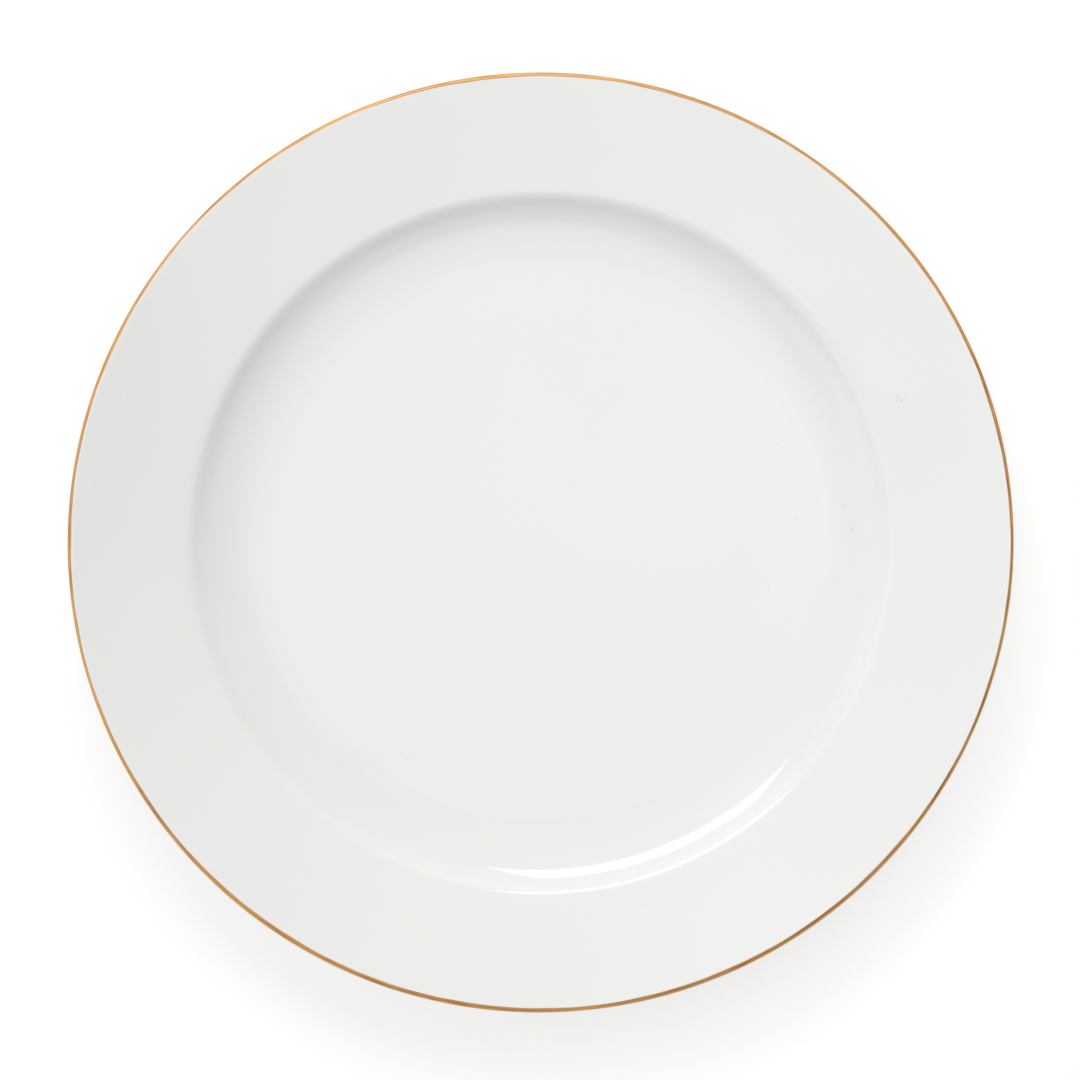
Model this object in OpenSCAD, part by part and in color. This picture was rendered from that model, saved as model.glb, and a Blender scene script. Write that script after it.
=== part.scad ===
// A rimmed china dinner plate with a gold edge line.
// It has four pieces, fired onto each other: the porcelain body, the glaze over its face, lip and back,
// the glaze inside its foot ring, and the gold line round its lip.
// Units are millimetres. The foot ring stands on z = 0, and the plate's axis is the z axis.

/* [Plate] */
// Diameter over the gold line
plate_d = 270; // [262:1:290]
// Thickness of the lip, before glazing
lip_t = 2.6; // [2.2:0.1:3.2]
// How much thicker the rim grows from its lip to the edge of the well
rim_taper = 1.5; // [0.5:0.1:2.5]
// Slope of the rim beside the well, in degrees
rim_angle = 10; // [6:0.5:13]
// How much steeper the rim gets towards its lip, in degrees
rim_lift = 1.5; // [0.5:0.5:3]

/* [Well] */
// Diameter of the edge between well and rim
verge_d = 200.5; // [193:0.5:209]
// Radius of the rounding of that edge
verge_r = 5; // [3:0.5:7]
// Slope of the well's wall where it is steepest, in degrees
wall_angle = 41; // [36:1:45]
// Length of the wall's straight stretch, between its two curves
wall_straight = 0.5; // [0.3:0.1:1.5]
// Radius of the cove, where the dished border of the floor turns up into the wall
cove_r = 14; // [10:1:20]
// Slope of that dished border where it meets the cove, in degrees
dish_angle = 14; // [10:1:18]
// Radius of the gentle curve from the flat of the floor into the dished border
dish_r = 60; // [46:2:76]
// Thickness of the floor and the wall, before glazing
wall_t = 4.2; // [3.6:0.1:4.8]

/* [Foot ring] */
// Distance of the ring's middle from the edge of the well, seen from above
foot_inset = 22; // [22:0.5:26]
// Depth of the recess inside the ring, before glazing
foot_h = 3.2; // [2.6:0.1:3.8]
// Width of the ring's seat
foot_w = 2.8; // [2.2:0.1:3.4]
// Height of the bare band that the glaze leaves round the seat
bare_h = 0.9; // [0.6:0.1:1.2]

/* [Coats] */
// Thickness of the glaze
glaze_t = 0.3; // [0.2:0.05:0.4]
// Thickness of the gold
gold_t = 0.15; // [0.1:0.01:0.2]
// Width of the gold line, seen from above
gold_w = 1.2; // [0.8:0.1:2]

/* [Hidden] */

lip_top_r = 0.3 * lip_t;    // rounding of the lip's upper edge
lip_back_r = 0.5 * lip_t;   // rounding of the lip's lower edge
rim_bend = 0.3;             // share of the rim's width that its curve takes on each side of its middle
back_verge_r = 7;           // rounding behind the edge of the well
heel_bend = 0.45;           // share of the wall's back that the curve below it takes
heel_angle = 8;             // slope of the back just outside the foot ring, in degrees
dish_straight = 0.5;        // length of the straight stretch between the dished border and the cove
root_r = 1;                 // fillet where the foot ring grows out of the back
foot_draft = 12;            // lean of the foot ring's sides from upright, in degrees
seat_edge_r = 0.5;          // rounding at both edges of the seat
arc_step = 4;               // most degrees between two points of an arc
arc_least = 4;              // fewest steps in an arc
turn_fn = 240;              // facets of a full turn

// --- Outlines ---
// A path is a list of corners [r, z, rounding radius], walked with the outside on its left.
// Its first and last corner lie on the axis and aren't rounded.

function flat(corner) = [corner.x, corner.y];
function heading(a, b) = (flat(b) - flat(a)) / norm(flat(b) - flat(a));
function left_of(v) = [-v.y, v.x];
function turned(v, a) = [v.x * cos(a) - v.y * sin(a), v.x * sin(a) + v.y * cos(a)];

// The height at radius r of a line that leaves a point at a slope
function height_at(r, from, slope) = from.y + (r - from.x) * tan(slope);

// Where a line through p meets a line through q, each with its own slope
function crossing(p, p_slope, q, q_slope) =
    let (r = (height_at(0, q, q_slope) - height_at(0, p, p_slope)) / (tan(p_slope) - tan(q_slope)))
    [r, height_at(r, p, p_slope)];

// How much of each side a corner's rounding takes, and the radius that takes that much
function tangent(radius, turn) = radius * tan(turn / 2);
function radius_for(tangent, turn) = tangent / tan(turn / 2);

// A corner moved outwards with both of its sides, its rounding still about the same centre
function grown_corner(before, corner, after, grow) =
    let (
        u = heading(before, corner),
        v = heading(corner, after),
        moved = flat(corner) + grow * (left_of(u) + left_of(v)) / (1 + u * v)
    )
    [moved.x, moved.y, corner.z - grow * sign(cross(u, v))];

function grown(path, grow) =
    let (last = len(path) - 1)
    [
        [0, path[0].y + grow],
        for (i = [1 : last - 1]) grown_corner(path[i - 1], path[i], path[i + 1], grow),
        [0, path[last].y - grow],
    ];

// The points of the arc that rounds a corner
function arc(before, corner, after) =
    let (
        u = heading(before, corner),
        v = heading(corner, after),
        side = sign(cross(u, v)),
        turn = acos(u * v),
        start = flat(corner) - u * tangent(corner.z, turn),
        centre = start + left_of(u) * corner.z * side,
        steps = max(arc_least, ceil(turn / arc_step))
    )
    [for (i = [0 : steps]) centre + turned(start - centre, side * turn * i / steps)];

function rounded(path) =
    let (last = len(path) - 1)
    [
        flat(path[0]),
        for (i = [1 : last - 1]) each arc(path[i - 1], path[i], path[i + 1]),
        flat(path[last]),
    ];

// --- The corners of the bare body ---

// Face, from the floor to the lip
floor_z = foot_h + wall_t;
cove_run = tangent(cove_r, wall_angle - dish_angle);
dish_run = tangent(dish_r, dish_angle) + dish_straight + cove_run;
wall_run = cove_run + wall_straight + tangent(verge_r, wall_angle - rim_angle);
cove_corner_r = verge_d / 2 - wall_run * cos(wall_angle);
dish = [cove_corner_r - dish_run * cos(dish_angle), floor_z, dish_r];
cove = [cove_corner_r, height_at(cove_corner_r, dish, dish_angle), cove_r];
verge = [verge_d / 2, height_at(verge_d / 2, cove, wall_angle), verge_r];
body_lip_r = plate_d / 2 - glaze_t - gold_t;
rim_w = body_lip_r - verge.x;
rim_middle_r = verge.x + rim_w / 2;
rim_curve_r = radius_for(rim_bend * rim_w, rim_lift);
rim_middle = [rim_middle_r, height_at(rim_middle_r, verge, rim_angle), rim_curve_r];
lip_top = [body_lip_r, height_at(body_lip_r, rim_middle, rim_angle + rim_lift), lip_top_r];

// Foot ring
foot_lean = foot_h * tan(foot_draft);
foot_middle_r = verge.x - foot_inset;
seat_out = [foot_middle_r + foot_w / 2, 0, seat_edge_r];
seat_in = [foot_middle_r - foot_w / 2, 0, seat_edge_r];
root_out = [seat_out.x + foot_lean, foot_h, root_r];
root_in = [seat_in.x - foot_lean, foot_h, root_r];

// Back, from the lip to the foot ring
lip_back = [body_lip_r, lip_top.y - lip_t, lip_back_r];
back_slope = atan((lip_top.y - verge.y + rim_taper) / rim_w);
wall_back = flat(cove) + wall_t * [sin(wall_angle), -cos(wall_angle)];
back_verge = [each crossing(lip_back, back_slope, wall_back, wall_angle), back_verge_r];
heel_point = crossing(root_out, heel_angle, wall_back, wall_angle);
heel_run = heel_bend * norm(flat(back_verge) - heel_point);
heel = [each heel_point, radius_for(heel_run, wall_angle - heel_angle)];

module outline(grow = 0) {
    polygon(rounded(grown([
        [0, floor_z], dish, cove, verge, rim_middle, lip_top,
        lip_back, back_verge, heel, root_out,
        seat_out, seat_in, root_in, [0, foot_h],
    ], grow)));
}

// A layer over the whole outline
module layer(inside, thickness) {
    difference() {
        outline(inside + thickness);
        outline(inside);
    }
}

// The glaze leaves the seat and the lowest part of the foot ring's sides bare
module glaze_section() {
    difference() {
        layer(0, glaze_t);
        translate([root_in.x, -foot_h]) square([root_out.x - root_in.x, foot_h + bare_h]);
    }
}

// The space inside the foot ring, as high as the middle of the floor
module recess_section() {
    translate([0, -foot_h]) square([foot_middle_r, 2 * foot_h + wall_t / 2]);
}

module turned_solid() {
    rotate_extrude($fn = turn_fn) children();
}

// --- The pieces ---

module porcelain_body() {
    color("ivory") turned_solid() outline();
}

module glaze_coat() {
    color("whitesmoke") turned_solid() difference() {
        glaze_section();
        recess_section();
    }
}

module recess_glaze() {
    color("whitesmoke") turned_solid() intersection() {
        glaze_section();
        recess_section();
    }
}

module gold_edge_line() {
    color("goldenrod") turned_solid() difference() {
        layer(glaze_t, gold_t);
        translate([0, -lip_top.y]) square([plate_d / 2 - gold_w, 3 * lip_top.y]);
    }
}

porcelain_body();
glaze_coat();
recess_glaze();
gold_edge_line();
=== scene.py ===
"""The looks of a rimmed china dinner plate with a gold edge line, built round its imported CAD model."""
import math

import bmesh
import bpy
import numpy as np
from mathutils import Matrix, Vector


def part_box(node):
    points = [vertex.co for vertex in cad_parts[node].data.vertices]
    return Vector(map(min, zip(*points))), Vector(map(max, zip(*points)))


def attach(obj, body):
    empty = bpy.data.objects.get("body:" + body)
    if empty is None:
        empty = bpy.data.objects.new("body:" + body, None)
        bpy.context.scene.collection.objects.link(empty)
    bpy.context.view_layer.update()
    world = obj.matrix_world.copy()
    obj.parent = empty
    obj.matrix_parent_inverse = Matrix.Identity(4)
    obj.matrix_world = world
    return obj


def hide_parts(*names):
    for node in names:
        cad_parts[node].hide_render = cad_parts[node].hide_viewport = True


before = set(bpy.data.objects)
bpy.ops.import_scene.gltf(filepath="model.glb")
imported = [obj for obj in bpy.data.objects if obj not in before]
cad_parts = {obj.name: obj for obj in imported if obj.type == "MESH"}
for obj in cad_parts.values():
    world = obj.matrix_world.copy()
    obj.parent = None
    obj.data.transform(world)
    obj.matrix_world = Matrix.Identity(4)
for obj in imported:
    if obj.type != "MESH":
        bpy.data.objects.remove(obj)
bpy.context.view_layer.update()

MM = 0.001
BODY = "root"

# --- Sizes of the plate, in millimetres: from the frame's boxes, and otherwise as the CAD model has them ---

glaze_low, glaze_high = (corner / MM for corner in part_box("glaze_coat"))
gold_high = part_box("gold_edge_line")[1] / MM
recess_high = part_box("recess_glaze")[1] / MM

GLAZE_T = 0.3
GOLD_T = gold_high.x - glaze_high.x
GOLD_W = 1.2
BODY_LIP_R = glaze_high.x - GLAZE_T
LIP_T = 2.6
LIP_TOP_ROUND = 0.3 * LIP_T
LIP_BACK_ROUND = 0.5 * LIP_T
RIM_TAPER = 1.5
RIM_ANGLE = math.radians(10)
RIM_LIFT = math.radians(1.5)
RIM_BEND = 0.3
VERGE_R = 100.25
VERGE_ROUND = 5
BACK_VERGE_ROUND = 7
WALL_ANGLE = math.radians(41)
WALL_STRAIGHT = 0.5
WALL_T = 4.2
COVE_ROUND = 14
DISH_ANGLE = math.radians(14)
DISH_ROUND = 60
DISH_STRAIGHT = 0.5
FOOT_H = recess_high.z
FOOT_R = VERGE_R - 22
FOOT_W = 2.8
FOOT_DRAFT = math.radians(12)
ROOT_ROUND = 1
SEAT_ROUND = 0.5
BARE_H = glaze_low.z
HEEL_ANGLE = math.radians(8)
HEEL_BEND = 0.45
LIP_R = gold_high.x
GOLD_BORDER_R = LIP_R - GOLD_W

# --- How finely the meshes are made, and how far the finish strays from the CAD model's plain form ---

SEGMENTS = 384
GOLD_SEGMENTS = 960
GOLD_ACROSS = 31
AXIS_R = 0.011           # a ring narrower than this is a point on the axis
GLAZE_BEAD = 0.45        # width of the rounded edge of the glaze at the foot
EDGE_REACH = 1.6         # how far from that edge its waver is felt
GOLD_CROWN = 0.05        # the gold is thickest in its middle
GOLD_SUNK = 0.03         # and its underside lies this far into the glaze


# --- The section of the bare body ---
# It is a path of corners (r, z, rounding radius), from the middle of the floor over the lip
# to the middle of the recess, with the outside on its left.

def tangent(radius, turn):
    return radius * math.tan(turn / 2)


def height_at(r, start, slope):
    return start[1] + (r - start[0]) * math.tan(slope)


def crossing(p, p_slope, q, q_slope):
    """Where a line through p meets a line through q, each with its own slope."""
    rise = height_at(0, q, q_slope) - height_at(0, p, p_slope)
    r = rise / (math.tan(p_slope) - math.tan(q_slope))
    return r, height_at(r, p, p_slope)


def body_corners():
    floor_z = FOOT_H + WALL_T
    cove_run = tangent(COVE_ROUND, WALL_ANGLE - DISH_ANGLE)
    dish_run = tangent(DISH_ROUND, DISH_ANGLE) + DISH_STRAIGHT + cove_run
    wall_run = cove_run + WALL_STRAIGHT + tangent(VERGE_ROUND, WALL_ANGLE - RIM_ANGLE)
    cove_r = VERGE_R - wall_run * math.cos(WALL_ANGLE)
    dish = (cove_r - dish_run * math.cos(DISH_ANGLE), floor_z, DISH_ROUND)
    cove = (cove_r, height_at(cove_r, dish, DISH_ANGLE), COVE_ROUND)
    verge = (VERGE_R, height_at(VERGE_R, cove, WALL_ANGLE), VERGE_ROUND)
    rim_w = BODY_LIP_R - VERGE_R
    middle_r = VERGE_R + rim_w / 2
    rim_round = RIM_BEND * rim_w / math.tan(RIM_LIFT / 2)
    rim = (middle_r, height_at(middle_r, verge, RIM_ANGLE), rim_round)
    lip_z = height_at(BODY_LIP_R, rim, RIM_ANGLE + RIM_LIFT)
    lip_top = (BODY_LIP_R, lip_z, LIP_TOP_ROUND)
    lip_back = (BODY_LIP_R, lip_z - LIP_T, LIP_BACK_ROUND)
    back_slope = math.atan((lip_z - verge[1] + RIM_TAPER) / rim_w)
    wall_back = (cove[0] + WALL_T * math.sin(WALL_ANGLE), cove[1] - WALL_T * math.cos(WALL_ANGLE))
    back_verge = crossing(lip_back, back_slope, wall_back, WALL_ANGLE)
    lean = FOOT_H * math.tan(FOOT_DRAFT)
    seat_out_r, seat_in_r = FOOT_R + FOOT_W / 2, FOOT_R - FOOT_W / 2
    root_out = (seat_out_r + lean, FOOT_H, ROOT_ROUND)
    root_in = (seat_in_r - lean, FOOT_H, ROOT_ROUND)
    heel = crossing(root_out, HEEL_ANGLE, wall_back, WALL_ANGLE)
    heel_round = HEEL_BEND * math.dist(back_verge, heel) / math.tan((WALL_ANGLE - HEEL_ANGLE) / 2)
    return [
        (0, floor_z, 0), dish, cove, verge, rim, lip_top,
        lip_back, (*back_verge, BACK_VERGE_ROUND), (*heel, heel_round), root_out,
        (seat_out_r, 0, SEAT_ROUND), (seat_in_r, 0, SEAT_ROUND), root_in, (0, FOOT_H, 0),
    ]


def arc_points(before, corner, after, step=math.radians(0.5)):
    """The arc that rounds a corner, as points."""
    at = Vector(corner[:2])
    u = (at - Vector(before[:2])).normalized()
    v = (Vector(after[:2]) - at).normalized()
    turn = u.angle(v)
    side = math.copysign(1, u.x * v.y - u.y * v.x)
    start = at - u * tangent(corner[2], turn)
    centre = start + Vector((-u.y, u.x)) * corner[2] * side
    steps = max(4, math.ceil(turn / step))
    arm = start - centre
    return [centre + Matrix.Rotation(side * turn * i / steps, 2) @ arm for i in range(steps + 1)]


class Section:
    """The body's section as an even run of points, with the outward normal and the bend at each."""

    SPACING = 0.02
    FIRMEST = 0.1            # least and most width of the easing at a point
    SOFTEST = 2.5
    EASED_SHARE = 0.08       # of a corner's rounding radius
    SHORTEST = 0.05          # least and most distance between two stations
    LONGEST = 3.5

    def __init__(self, corners):
        points = [Vector(corners[0][:2])]
        softness = [(0, self.SOFTEST)]
        walked = 0
        for before, corner, after in zip(corners, corners[1:], corners[2:]):
            arc = arc_points(before, corner, after)
            walked += (arc[0] - points[-1]).length
            length = sum((b - a).length for a, b in zip(arc, arc[1:]))
            width = min(self.SOFTEST, max(self.FIRMEST, self.EASED_SHARE * corner[2]))
            softness.append((walked + length / 2, width))
            walked += length
            points += arc
        points.append(Vector(corners[-1][:2]))
        walked += (points[-1] - points[-2]).length
        softness.append((walked, self.SOFTEST))
        self.resample(np.array(points), softness)

    def resample(self, points, softness):
        """Even spacing, then a local average that eases each arc into its neighbours, as on turned clay."""
        walked = np.concatenate([[0], np.cumsum(np.hypot(*np.diff(points, axis=0).T))])
        self.s = np.arange(0, walked[-1], self.SPACING)
        raw = np.stack([np.interp(self.s, walked, points[:, i]) for i in (0, 1)])
        width = np.interp(self.s, *zip(*softness)) / self.SPACING
        offsets = np.linspace(-2, 2, 41)
        weights = np.exp(-offsets ** 2 / 2)
        grid = np.arange(len(self.s))
        last = grid[-1]
        at = grid[:, None] + offsets * width[:, None]
        mirrored = np.abs(at)
        mirrored = np.where(mirrored > last, 2 * last - mirrored, mirrored)
        sign = np.where((at < 0) | (at > last), -1, 1)
        r = np.interp(mirrored, grid, raw[0]) * sign
        z = np.interp(mirrored, grid, raw[1])
        self.r = (r * weights).sum(1) / weights.sum()
        self.z = (z * weights).sum(1) / weights.sum()
        along = np.stack([np.gradient(self.r), np.gradient(self.z)])
        along /= np.hypot(*along)
        self.nr, self.nz = -along[1], along[0]
        self.bend = np.gradient(np.unwrap(np.arctan2(along[1], along[0]))) / self.SPACING

    def at(self, s, proud=0):
        """The point (r, z) a distance s along the section, and proud of it."""
        r = np.interp(s, self.s, self.r) + proud * np.interp(s, self.s, self.nr)
        z = np.interp(s, self.s, self.z) + proud * np.interp(s, self.s, self.nz)
        return r, z

    def hollow(self, s):
        """How far glaze gathers at s: 0 where the section is flat or bulges, 1 in its tightest hollows."""
        return np.sqrt(np.clip(np.interp(s, self.s, self.bend), 0, 1))

    def find(self, where):
        """The distances at which where(section) turns from false to true or back."""
        flips = np.flatnonzero(np.diff(where.astype(int)))
        return self.s[flips]

    def stations(self, start, end, sagitta=0.0015):
        """Distances from start to end, closer together where the section turns more."""
        chord = np.sqrt(8 * sagitta / np.maximum(np.abs(self.bend), 1e-6))
        step = np.clip(chord, self.SHORTEST, self.LONGEST)
        smooth = np.convolve(np.pad(1 / step, 10, mode="edge"), np.ones(21) / 21, mode="valid")
        inside = (self.s >= start) & (self.s <= end)
        count = np.concatenate([[0], np.cumsum(smooth[inside])[:-1] * self.SPACING])
        wanted = np.linspace(0, count[-1], math.ceil(count[-1]) + 1)
        return np.interp(wanted, count, self.s[inside])


section = Section(body_corners())
total_s = section.s[-1]
bare_out_s, bare_in_s = section.find(section.z < BARE_H)
gold_face_s, gold_back_s = section.find(section.r > GOLD_BORDER_R)


# --- Turning a section into a mesh ---

def wave(angles, *terms):
    """A sum of ripples round the plate, each (amplitude, how many round the plate, phase in degrees)."""
    return sum(size * np.cos(count * angles + math.radians(phase)) for size, count, phase in terms)


def warped(r, z, angles):
    """What firing does to a true circle: the rim rises and dips a little, and is a little out of round."""
    outer = np.clip((r - FOOT_R) / (BODY_LIP_R - FOOT_R), 0, 1) ** 2
    lift = outer * wave(angles, (0.11, 2, 40), (0.05, 3, -70), (0.02, 5, 10))
    stretch = outer * wave(angles, (0.07, 2, 110), (0.03, 3, 25))
    return r + stretch, z + lift


class Turned:
    """A closed solid of revolution, ring by ring. A ring has a radius and a height at every angle."""

    def __init__(self, name, segments, marked=None):
        """marked names the mesh attribute that takes the rings' marks to the material, if they have any."""
        self.name = name
        self.marked = marked
        self.angles = np.linspace(0, 2 * math.pi, segments, endpoint=False)
        self.rings = []

    def ring(self, point, mark=0.0):
        """Adds a ring. point is (r, z), one number each or one for every angle."""
        even = np.ones_like(self.angles)
        self.rings.append((point[0] * even, point[1] * even, mark))

    def build(self, closed):
        """Makes the object. If closed, the last ring joins the first, and otherwise both lie on the axis."""
        segments = len(self.angles)
        cos, sin = np.cos(self.angles), np.sin(self.angles)
        points, marks, first, sizes = [], [], [], []
        for r, z, mark in self.rings:
            first.append(len(points))
            r, z = warped(r, z, self.angles)
            size = 1 if r.max() < AXIS_R else segments
            points += [(x * MM, y * MM, h * MM) for x, y, h in zip(r * cos, r * sin, z)][:size]
            marks += [mark] * size
            sizes.append(size)
        links = list(zip(range(len(first) - 1), range(1, len(first))))
        if closed:
            links.append((len(first) - 1, 0))
        faces = []
        for a, b in links:
            for i in range(segments):
                j = (i + 1) % segments
                near = [first[a]] if sizes[a] == 1 else [first[a] + j, first[a] + i]
                far = [first[b]] if sizes[b] == 1 else [first[b] + i, first[b] + j]
                faces.append(near + far)
        mesh = bpy.data.meshes.new(self.name)
        mesh.from_pydata(points, [], faces)
        shape = bmesh.new()
        shape.from_mesh(mesh)
        bmesh.ops.recalc_face_normals(shape, faces=shape.faces)
        shape.to_mesh(mesh)
        shape.free()
        mesh.polygons.foreach_set("use_smooth", [True] * len(mesh.polygons))
        if self.marked:
            mesh.attributes.new(self.marked, "FLOAT", "POINT").data.foreach_set("value", marks)
        piece = bpy.data.objects.new(self.name, mesh)
        bpy.context.scene.collection.objects.link(piece)
        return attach(piece, BODY)


# --- The pieces ---

def porcelain_body():
    body = Turned("porcelain_body_turned", SEGMENTS)
    for s in section.stations(0, total_s, sagitta=0.003):
        body.ring(section.at(s))
    return body.build(closed=False)


def glaze_shell(name, axis_s, edge_s):
    """A glazed area: its face from the axis to its edge at the foot, and back along the body."""
    shell = Turned(name, SEGMENTS, "gathered")
    low, high = sorted((axis_s, edge_s))
    towards_edge = 1 if edge_s > axis_s else -1
    edge_wave = wave(shell.angles, (0.07, 3, 20), (0.05, 7, 130), (0.04, 17, 60), (0.03, 41, 200))

    def add(s, thickness):
        share = max(0.0, 1 - abs(edge_s - s) / EDGE_REACH)
        moved = s + edge_wave * share ** 2 * (3 - 2 * share)
        shell.ring(section.at(moved, proud=thickness), section.hollow(s))

    face = section.stations(low, high)
    face = face[np.abs(face - edge_s) > GLAZE_BEAD]
    for s in face[::towards_edge]:
        add(s, GLAZE_T)
    for share in np.linspace(0, 1, 9):
        bead = math.sin(share * math.pi / 2)
        add(edge_s - towards_edge * GLAZE_BEAD * (1 - bead), GLAZE_T * math.sqrt(1 - bead ** 2))
    for s in section.stations(low, high, sagitta=0.015)[::-towards_edge][1:]:
        add(s, 0)
    return shell.build(closed=False)


def gold_line():
    """The gold on the lip, laid on with a brush: its borders waver, and it thins out towards both."""
    band = Turned("gold_edge_line_brushed", GOLD_SEGMENTS, "across")
    angles = band.angles
    start = gold_face_s + wave(
        angles, (0.10, 2, 30), (0.06, 5, 75), (0.04, 13, 0), (0.03, 31, 50), (0.02, 67, 10),
    )
    end = gold_back_s + wave(angles, (0.14, 3, 160), (0.07, 7, 20), (0.04, 19, 80), (0.03, 43, 5))
    shares = (1 - np.cos(np.linspace(0, math.pi, GOLD_ACROSS))) / 2
    for share in shares:
        crown = GOLD_CROWN * (1 - abs(2 * share - 1) ** 3)
        band.ring(section.at(start + share * (end - start), proud=GLAZE_T + crown), share)
    for share in shares[-3:1:-3]:
        band.ring(section.at(start + share * (end - start), proud=GLAZE_T - GOLD_SUNK), share)
    return band.build(closed=True)


# --- Materials ---

class Nodes:
    """A node tree, with short ways to add its nodes."""

    # The colour sockets of a mix node, by number, because it has other sockets of the same names
    MIX_SHARE, MIX_A, MIX_B, MIXED = 0, 6, 7, 2

    def __init__(self, tree):
        self.tree = tree

    def node(self, kind, inputs=(), **settings):
        made = self.tree.nodes.new(kind)
        for key, value in settings.items():
            setattr(made, key, value)
        for key, value in dict(inputs).items():
            if isinstance(value, bpy.types.NodeSocket):
                self.tree.links.new(value, made.inputs[key])
            else:
                made.inputs[key].default_value = value
        return made

    def place(self):
        """The place on the object, in metres."""
        return self.node("ShaderNodeTexCoord").outputs["Object"]

    def noise(self, scale, detail=2.0, roughness=0.5, vector=None):
        inputs = {"Vector": vector or self.place(), "Scale": scale, "Detail": detail, "Roughness": roughness}
        return self.node("ShaderNodeTexNoise", inputs).outputs["Fac"]

    def vector_maths(self, operation, inputs):
        return self.node("ShaderNodeVectorMath", inputs, operation=operation)

    def scaled(self, factors, vector=None):
        """A vector, or the place on the object, with each of its coordinates multiplied."""
        return self.vector_maths("MULTIPLY", {0: vector or self.place(), 1: factors}).outputs["Vector"]

    def axis_distance(self):
        return self.vector_maths("LENGTH", {0: self.scaled((1, 1, 0))}).outputs["Value"]

    def height(self):
        return self.node("ShaderNodeSeparateXYZ", {0: self.place()}).outputs["Z"]

    def rings(self, scale):
        """Noise that only changes with the distance from the plate's axis."""
        inputs = {"W": self.axis_distance(), "Scale": scale, "Detail": 1.0}
        return self.node("ShaderNodeTexNoise", inputs, noise_dimensions="1D").outputs["Fac"]

    def cells(self, scale):
        """The distance, in cells, from the nearest of many scattered points."""
        inputs = {"Vector": self.place(), "Scale": scale}
        return self.node("ShaderNodeTexVoronoi", inputs).outputs["Distance"]

    def scratches(self, degrees):
        """Faint marks of cutlery in one rough direction, on the floor of the well."""
        inputs = {"Vector": self.place(), "Angle": math.radians(degrees)}
        turned = self.node("ShaderNodeVectorRotate", inputs, rotation_type="Z_AXIS").outputs["Vector"]
        drawn_out = self.scaled((1800, 35, 0), turned)
        line = self.spread(self.noise(1, 1, vector=drawn_out), 0.70, 0.76)
        patch = self.spread(self.noise(28, 2), 0.5, 0.62)
        inside = self.spread(self.axis_distance(), 78 * MM, 66 * MM)
        return self.maths("MULTIPLY", self.maths("MULTIPLY", line, patch), inside)

    def distance_to(self, point):
        return self.vector_maths("DISTANCE", {0: self.place(), 1: point}).outputs["Value"]

    def distance_to_stroke(self, start, end):
        """The distance from the straight stroke between two points."""
        stroke = end - start
        arm = self.vector_maths("SUBTRACT", {0: self.place(), 1: start}).outputs["Vector"]
        along = self.vector_maths("DOT_PRODUCT", {0: arm, 1: stroke / stroke.length_squared})
        share = self.node("ShaderNodeClamp", {"Value": along.outputs["Value"]}).outputs["Result"]
        nearest = self.vector_maths("SCALE", {0: stroke, "Scale": share}).outputs["Vector"]
        return self.vector_maths("DISTANCE", {0: arm, 1: nearest}).outputs["Value"]

    def spread(self, value, from_low, from_high, to_low=0.0, to_high=1.0, smooth=False):
        """A value carried over from one range to another, and held at that range's ends."""
        inputs = {
            "Value": value,
            "From Min": from_low, "From Max": from_high,
            "To Min": to_low, "To Max": to_high,
        }
        kind = "SMOOTHSTEP" if smooth else "LINEAR"
        return self.node("ShaderNodeMapRange", inputs, interpolation_type=kind).outputs["Result"]

    def maths(self, operation, a, b=0.0):
        return self.node("ShaderNodeMath", {0: a, 1: b}, operation=operation).outputs["Value"]

    def mix(self, share, a, b):
        """A colour that goes from a to b. Each is a socket or (red, green, blue)."""
        a, b = ((*colour, 1) if isinstance(colour, tuple) else colour for colour in (a, b))
        inputs = {self.MIX_SHARE: share, self.MIX_A: a, self.MIX_B: b}
        return self.node("ShaderNodeMix", inputs, data_type="RGBA").outputs[self.MIXED]

    def bump(self, height, distance, below=None):
        """A normal that rises by distance where height is 1, on top of the normal below."""
        inputs = {"Height": height, "Distance": distance, "Strength": 1.0}
        if below is not None:
            inputs["Normal"] = below
        return self.node("ShaderNodeBump", inputs).outputs["Normal"]


class Finish(Nodes):
    """A node material."""

    def __init__(self, name):
        self.material = bpy.data.materials.new(name)
        self.material.use_nodes = True
        super().__init__(self.material.node_tree)
        self.shader = self.tree.nodes["Principled BSDF"]

    def set(self, **sockets):
        for key, value in sockets.items():
            socket = self.shader.inputs[key.replace("_", " ")]
            if isinstance(value, bpy.types.NodeSocket):
                self.tree.links.new(value, socket)
            else:
                socket.default_value = value


WHITE = (0.805, 0.803, 0.785)
WHITE_COOL = (0.795, 0.798, 0.785)
GATHERED = (0.66, 0.70, 0.66)
SPECK = (0.16, 0.12, 0.08)
HAIR = (0.52, 0.53, 0.52)

# Small flaws in the glaze of the face, in millimetres from the plate's axis: specks as (x, y, radius),
# and the strokes of one fine hair mark as (x, y) to (x, y)
SPECKS = [(86.8, 10.8, 0.17), (89.2, 4.3, 0.19), (67.6, 28.8, 0.15), (73.4, 7.4, 0.16), (-38.0, -61.5, 0.12)]
HAIR_STROKES = [((101.6, 42.2), (103.0, 40.0)), ((103.0, 40.0), (104.8, 40.7))]
HAIR_WIDTH = 0.16
PINHOLES = 120           # to a metre
PINHOLE_R = 0.1


def on_face(x, y):
    """The point of the glazed face above (x, y), in metres."""
    angle = math.atan2(y, x)
    up_to_lip = np.argmax(section.r)
    s = np.interp(math.hypot(x, y), section.r[:up_to_lip], section.s[:up_to_lip])
    r, z = warped(*section.at(s, GLAZE_T), angle)
    return Vector((r * math.cos(angle), r * math.sin(angle), z)) * MM


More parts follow.
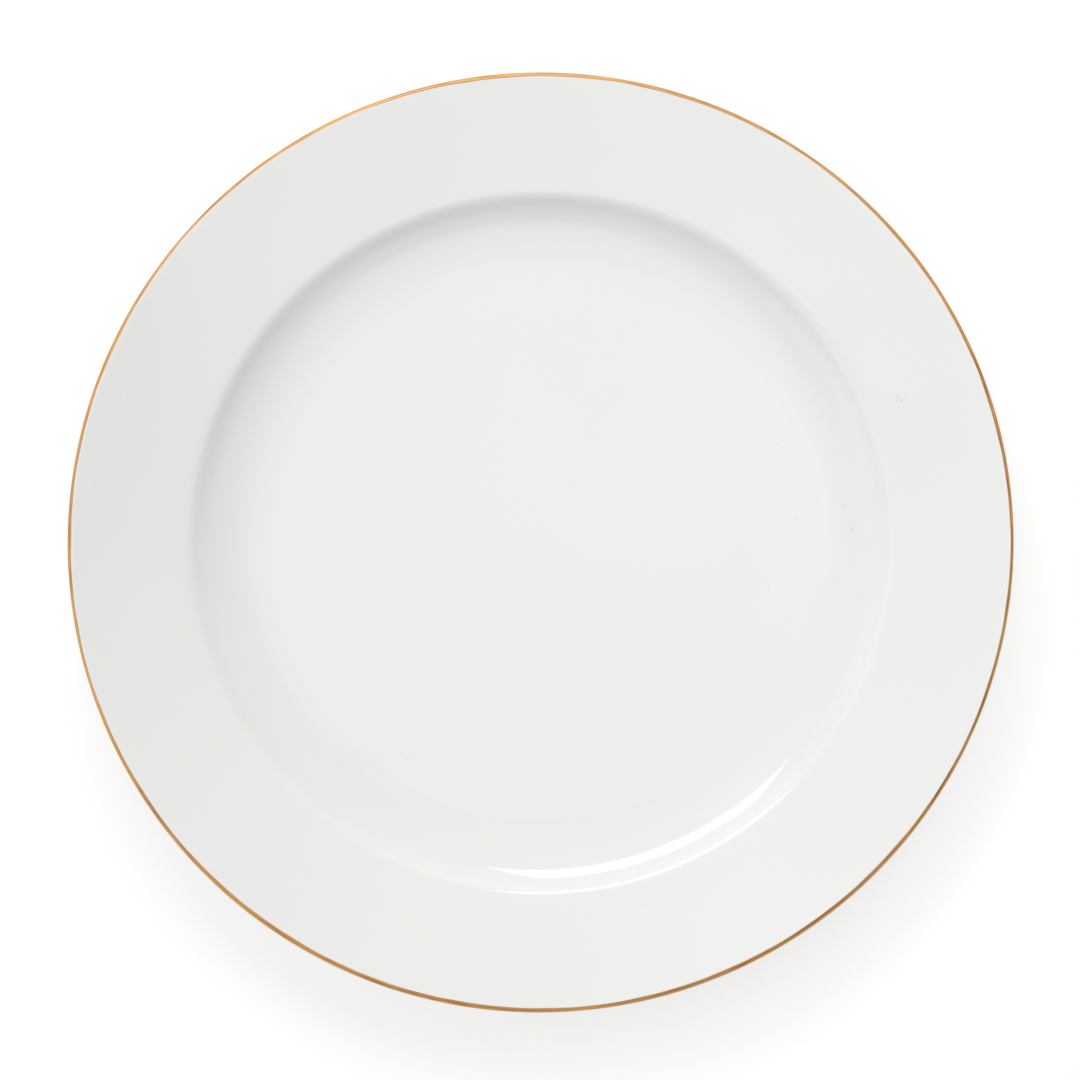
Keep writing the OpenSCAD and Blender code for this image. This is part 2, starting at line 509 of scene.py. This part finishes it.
def glaze_finish():
    """White glaze, with clouds and flaws in its colour, and turning marks and scratches in its gloss."""
    finish = Finish("white_glaze")
    cloud = finish.spread(finish.noise(14, 3), 0.35, 0.65, smooth=True)
    colour = finish.mix(cloud, WHITE, WHITE_COOL)
    gathered = finish.node("ShaderNodeAttribute", attribute_name="gathered").outputs["Fac"]
    colour = finish.mix(finish.maths("MULTIPLY", gathered, 0.3), colour, GATHERED)
    pinhole_size = PINHOLE_R * MM * PINHOLES
    pinholes = finish.spread(finish.cells(PINHOLES), 1.6 * pinhole_size, pinhole_size)
    colour = finish.mix(finish.maths("MULTIPLY", pinholes, 0.35), colour, SPECK)
    for x, y, radius in SPECKS:
        near = finish.spread(finish.distance_to(on_face(x, y)), radius * MM, 0.5 * radius * MM, smooth=True)
        colour = finish.mix(near, colour, SPECK)
    for start, end in HAIR_STROKES:
        gap = finish.distance_to_stroke(on_face(*start), on_face(*end))
        near = finish.spread(gap, 0.5 * HAIR_WIDTH * MM, 0.25 * HAIR_WIDTH * MM, smooth=True)
        colour = finish.mix(near, colour, HAIR)
    finish.set(Base_Color=colour)

    smear = finish.spread(finish.noise(22, 4), 0.3, 0.7, 0.045, 0.07)
    scratches = finish.maths("ADD", finish.scratches(25), finish.scratches(-70))
    finish.set(Roughness=finish.maths("ADD", smear, finish.maths("MULTIPLY", scratches, 0.12)))
    turning = finish.bump(finish.rings(420), 0.004 * MM)
    waves = finish.bump(finish.noise(45, 1), 0.01 * MM, below=turning)
    peel = finish.bump(finish.noise(700, 2), 0.0007 * MM, below=waves)
    finish.set(Normal=finish.bump(scratches, 0.002 * MM, below=peel))
    finish.set(IOR=1.52)
    return finish.material


GOLD_DEEP = (0.475, 0.222, 0.065)
GOLD = (0.615, 0.316, 0.102)
GOLD_PALE = (0.75, 0.445, 0.175)
LUSTRE = (0.60, 0.52, 0.66)


def gold_finish():
    """Fired gold laid on by brush: streaks along the line, and a thin lilac lustre where it fades out."""
    finish = Finish("burnished_gold")
    along_band = finish.scaled((130, 130, 0))
    across = finish.node("ShaderNodeAttribute", attribute_name="across").outputs["Fac"]
    over_band = finish.node("ShaderNodeCombineXYZ", {"Z": finish.maths("MULTIPLY", across, 9)})
    place = finish.vector_maths("ADD", {0: along_band, 1: over_band.outputs["Vector"]})
    streaks = finish.noise(1, 3, vector=place.outputs["Vector"])
    cloud = finish.spread(finish.noise(35, 3), 0.35, 0.65, smooth=True)
    colour = finish.mix(cloud, GOLD_DEEP, GOLD)
    colour = finish.mix(finish.spread(streaks, 0.35, 0.7), colour, GOLD_PALE)
    fade = finish.spread(across, 0.0, 0.025, 1.0, 0.0, smooth=True)
    finish.set(Base_Color=finish.mix(fade, colour, LUSTRE))
    finish.set(Metallic=finish.spread(across, 0.0, 0.02, 0.3, 1.0))
    finish.set(Roughness=finish.spread(streaks, 0.3, 0.7, 0.44, 0.6))
    finish.set(Normal=finish.bump(streaks, 0.012 * MM))
    return finish.material


BISQUE_DEEP = (0.52, 0.46, 0.37)
BISQUE = (0.76, 0.73, 0.66)
TABLE_GREY = (0.36, 0.35, 0.33)


def bisque_finish():
    """Bare fired porcelain, as the foot's seat shows it: gritty, and greyed where it has slid on tables."""
    finish = Finish("bare_porcelain")
    grit = finish.spread(finish.noise(2500, 3), 0.35, 0.6)
    colour = finish.mix(grit, BISQUE_DEEP, BISQUE)
    low = finish.spread(finish.height(), 0.0, 0.2 * MM, 1.0, 0.0)
    worn = finish.maths("MULTIPLY", low, finish.spread(finish.noise(160, 4), 0.42, 0.62))
    finish.set(Base_Color=finish.mix(finish.maths("MULTIPLY", worn, 0.5), colour, TABLE_GREY))
    finish.set(Roughness=finish.spread(grit, 0, 1, 0.9, 0.7))
    finish.set(Normal=finish.bump(grit, 0.04 * MM))
    return finish.material


def floor_finish():
    finish = Finish("pale_floor")
    tone = finish.spread(finish.noise(3, 2), 0.3, 0.7)
    finish.set(Base_Color=finish.mix(tone, (0.50, 0.50, 0.50), (0.52, 0.52, 0.52)))
    finish.set(Roughness=0.6)
    finish.set(Emission_Color=(1, 1, 1, 1), Emission_Strength=0.5)
    return finish.material


def dress(piece, finish, node):
    piece.data.materials.append(finish)
    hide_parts(node)


white_glaze = glaze_finish()
dress(porcelain_body(), bisque_finish(), "porcelain_body")
dress(glaze_shell("glaze_coat_fired", 0, bare_out_s), white_glaze, "glaze_coat")
dress(glaze_shell("recess_glaze_fired", total_s, bare_in_s), white_glaze, "recess_glaze")
dress(gold_line(), gold_finish(), "gold_edge_line")


# --- Camera, floor and light ---

def aimed(obj, place, target, up=Vector((0, 1, 0))):
    """Puts obj at a place, looking at a target, with its top towards up."""
    back = (place - target).normalized()
    right = up.cross(back).normalized()
    turn = Matrix((right, back.cross(right), back)).transposed().to_4x4()
    obj.matrix_world = Matrix.Translation(place) @ turn
    bpy.context.scene.collection.objects.link(obj)


def bearing(azimuth, elevation, distance):
    """A point that far from the origin. Azimuth 0 is +X and 90 is +Y, in degrees."""
    a, e = math.radians(azimuth), math.radians(elevation)
    return distance * Vector((math.cos(a) * math.cos(e), math.sin(a) * math.cos(e), math.sin(e)))


CAMERA_DISTANCE = 3.0
CAMERA_AZIMUTH = -77.6
CAMERA_ELEVATION = 83
PLATE_SHARE = 0.877      # of the picture's width
SENSOR = 36

lip_height = section.z[np.argmax(section.r)] * MM
target = Vector((0, 0, lip_height))
camera_data = bpy.data.cameras.new("camera")
camera_data.sensor_width = SENSOR
camera_data.lens = SENSOR * CAMERA_DISTANCE * PLATE_SHARE / (2 * LIP_R * MM)
camera_data.clip_end = 50
camera = bpy.data.objects.new("camera", camera_data)
aimed(camera, target + bearing(CAMERA_AZIMUTH, CAMERA_ELEVATION, CAMERA_DISTANCE), target)
bpy.context.scene.camera = camera


FLOOR_REACH = 12


def softbox(name, azimuth, elevation, distance, width, height, power, mirrored=True):
    """A rectangular light aimed at the origin. If not mirrored, it shows in no reflection."""
    data = bpy.data.lights.new(name, "AREA")
    data.shape = "RECTANGLE"
    data.size = width
    data.size_y = height
    data.energy = power
    light = bpy.data.objects.new(name, data)
    light.visible_glossy = mirrored
    aimed(light, bearing(azimuth, elevation, distance), Vector((0, 0, 0)), up=Vector((0, 0, 1)))


def floor_plane():
    mesh = bpy.data.meshes.new("floor")
    size = FLOOR_REACH
    corners = [(-size, -size, 0), (size, -size, 0), (size, size, 0), (-size, size, 0)]
    mesh.from_pydata(corners, [], [(0, 1, 2, 3)])
    mesh.materials.append(floor_finish())
    plane = bpy.data.objects.new("floor", mesh)
    bpy.context.scene.collection.objects.link(plane)


ROOM_LIGHT = 0.26

# Soft glows on the studio's walls and ceiling, as azimuth, elevation and reach in degrees, and strength
GLOWS = [
    (-90, 83, 22, 1.18), (90, 62, 30, 0.58), (135, 62, 30, 0.36),
    (45, 28, 40, 0.56), (100, 18, 38, 0.9), (180, 28, 40, 0.86), (225, 28, 40, 0.46), (290, 28, 40, 0.48),
    (10, 10, 30, 0.4), (65, 12, 25, 0.3), (140, 14, 30, 0.45),
]
GLOW_CORE = math.cos(math.radians(4))    # a glow is at full strength this near its middle


def pale_room():
    """Dim even light from all round, with wide soft glows in it."""
    world = bpy.data.worlds.new("studio")
    world.use_nodes = True
    nodes = Nodes(world.node_tree)
    away = nodes.node("ShaderNodeTexCoord").outputs["Generated"]
    light = ROOM_LIGHT
    for azimuth, elevation, reach, strength in GLOWS:
        towards = {0: away, 1: bearing(azimuth, elevation, 1)}
        nearness = nodes.vector_maths("DOT_PRODUCT", towards).outputs["Value"]
        edge = math.cos(math.radians(reach))
        glow = nodes.spread(nearness, edge, GLOW_CORE, 0.0, strength, smooth=True)
        light = nodes.maths("ADD", glow, light)
    background = world.node_tree.nodes["Background"]
    background.inputs["Color"].default_value = (1, 1, 1, 1)
    world.node_tree.links.new(light, background.inputs["Strength"])
    bpy.context.scene.world = world


softbox("window", 108.5, 43, 2.0, 1.07, 0.75, 9.2)
softbox("lamp", 20, 60, 0.5, 0.4, 0.4, 0.34, mirrored=False)
floor_plane()
pale_room()
bpy.context.scene.view_settings.view_transform = "Standard"
